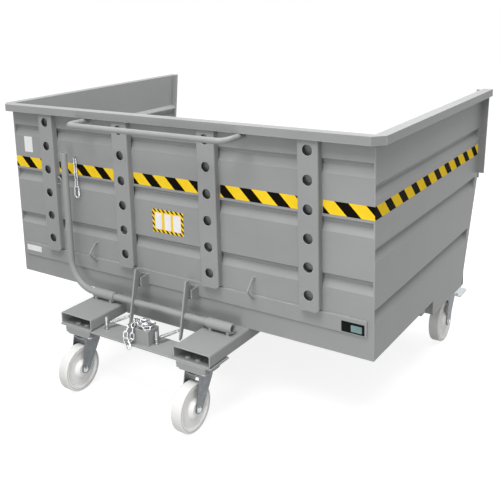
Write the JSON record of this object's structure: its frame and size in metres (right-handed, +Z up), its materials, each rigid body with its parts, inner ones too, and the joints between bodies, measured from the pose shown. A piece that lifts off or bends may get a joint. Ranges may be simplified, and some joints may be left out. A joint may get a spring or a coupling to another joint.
{
  "type": "tipping skip trolley",
  "caption": "Ribbed steel tipping skip on a fork-sleeve chassis with swivel casters, a release lever with spring-held hooks and a tipping hinge along its far edge.",
  "frame": {"origin": "on the floor, under the centre of the bounding box at rest", "axes": "+X along the rear wall with the push handle, +Y towards the tipping side, +Z up"},
  "size_m": [1.776, 1.51, 1.067],
  "materials": {
    "grey_paint": "satin",
    "zinc_steel": "satin",
    "white_polyamide": "matte"
  },
  "bodies": {
    "chassis": {"fork_sleeve_left": "grey_paint", "fork_sleeve_right": "grey_paint", "bridge_plate": "grey_paint", "tie_tube": "grey_paint", "far_beam": "grey_paint", "carriage_frame": "grey_paint", "caster_pads": "grey_paint", "spring_posts": "zinc_steel", "chain_box": "grey_paint", "bearing_left": "grey_paint", "bearing_right": "grey_paint", "chassis_hinge_lugs": "grey_paint", "hinge_pins": "zinc_steel", "safety_chain": "zinc_steel", "snap_hook": "zinc_steel", "spring_left": "zinc_steel", "spring_right": "zinc_steel", "caster_plate_rear_left": "zinc_steel", "caster_plate_rear_right": "zinc_steel", "caster_plate_front_left": "zinc_steel", "caster_plate_front_right": "zinc_steel"},
    "latch": {"lever_shaft": "grey_paint", "hook_left": "grey_paint", "hook_right": "grey_paint"},
    "swivel_rear_left": {"fork_rear_left": "zinc_steel", "axle_rear_left": "zinc_steel"},
    "wheel_rear_left": {"wheel_rear_left": "white_polyamide"},
    "swivel_rear_right": {"fork_rear_right": "zinc_steel", "axle_rear_right": "zinc_steel"},
    "wheel_rear_right": {"wheel_rear_right": "white_polyamide"},
    "swivel_front_left": {"fork_front_left": "zinc_steel", "axle_front_left": "zinc_steel"},
    "wheel_front_left": {"wheel_front_left": "white_polyamide"},
    "swivel_front_right": {"fork_front_right": "zinc_steel", "axle_front_right": "zinc_steel"},
    "wheel_front_right": {"wheel_front_right": "white_polyamide"},
    "pedal_left": {"brake_pedal_left": "zinc_steel"},
    "pedal_right": {"brake_pedal_right": "zinc_steel"},
    "tub": {"catch_left": "grey_paint", "catch_right": "grey_paint", "edge_flanges": "grey_paint", "floor_ribs": "grey_paint", "foot_strip": "grey_paint", "front_wall": "grey_paint", "lock_chain": "zinc_steel", "push_handle": "grey_paint", "rear_wall": "grey_paint", "rim_left": "grey_paint", "rim_rear": "grey_paint", "rim_right": "grey_paint", "rope_hooks": "grey_paint", "side_wall_left": "grey_paint", "side_wall_right": "grey_paint", "stiffener_1": "grey_paint", "stiffener_2": "grey_paint", "stiffener_3": "grey_paint", "stiffener_4": "grey_paint", "tub_floor": "grey_paint", "tub_hinge_lugs": "grey_paint"}
  },
  "joints": [
    {"name": "tub_tip", "type": "hinge", "parent": "chassis", "child": "tub", "pos_m": [0, 0.57004, 0.32], "axis": [-1, 0, 0], "range_deg": [0, 90]},
    {"name": "lever_turn", "type": "hinge", "parent": "chassis", "child": "latch", "pos_m": [0, -0.486, 0.326], "axis": [1, 0, 0], "range_deg": [0, 25], "stiffness_Nm_per_rad": 20, "springref_deg": -8.59, "deforming": ["spring_left", "spring_right"]},
    {"name": "swivel_rear_left", "type": "hinge", "parent": "chassis", "child": "swivel_rear_left", "pos_m": [-0.275, -0.61, 0.205], "axis": [0, 0, 1], "continuous": true},
    {"name": "spin_rear_left", "type": "hinge", "parent": "swivel_rear_left", "child": "wheel_rear_left", "pos_m": [-0.275, -0.665, 0.09], "axis": [1, 0, 0], "continuous": true},
    {"name": "swivel_rear_right", "type": "hinge", "parent": "chassis", "child": "swivel_rear_right", "pos_m": [0.275, -0.61, 0.205], "axis": [0, 0, 1], "continuous": true},
    {"name": "spin_rear_right", "type": "hinge", "parent": "swivel_rear_right", "child": "wheel_rear_right", "pos_m": [0.275, -0.665, 0.09], "axis": [1, 0, 0], "continuous": true},
    {"name": "swivel_front_left", "type": "hinge", "parent": "chassis", "child": "swivel_front_left", "pos_m": [-0.782, 0.51504, 0.205], "axis": [0, 0, 1], "continuous": true},
    {"name": "spin_front_left", "type": "hinge", "parent": "swivel_front_left", "child": "wheel_front_left", "pos_m": [-0.782, 0.46004, 0.09], "axis": [1, 0, 0], "continuous": true},
    {"name": "swivel_front_right", "type": "hinge", "parent": "chassis", "child": "swivel_front_right", "pos_m": [0.782, 0.51504, 0.205], "axis": [0, 0, 1], "continuous": true},
    {"name": "spin_front_right", "type": "hinge", "parent": "swivel_front_right", "child": "wheel_front_right", "pos_m": [0.782, 0.46004, 0.09], "axis": [1, 0, 0], "continuous": true},
    {"name": "pedal_left", "type": "hinge", "parent": "swivel_front_left", "child": "pedal_left", "pos_m": [-0.782, 0.53704, 0.19], "axis": [-1, 0, 0], "range_deg": [0, 12]},
    {"name": "pedal_right", "type": "hinge", "parent": "swivel_front_right", "child": "pedal_right", "pos_m": [0.782, 0.53704, 0.19], "axis": [-1, 0, 0], "range_deg": [0, 12]}
  ]
}
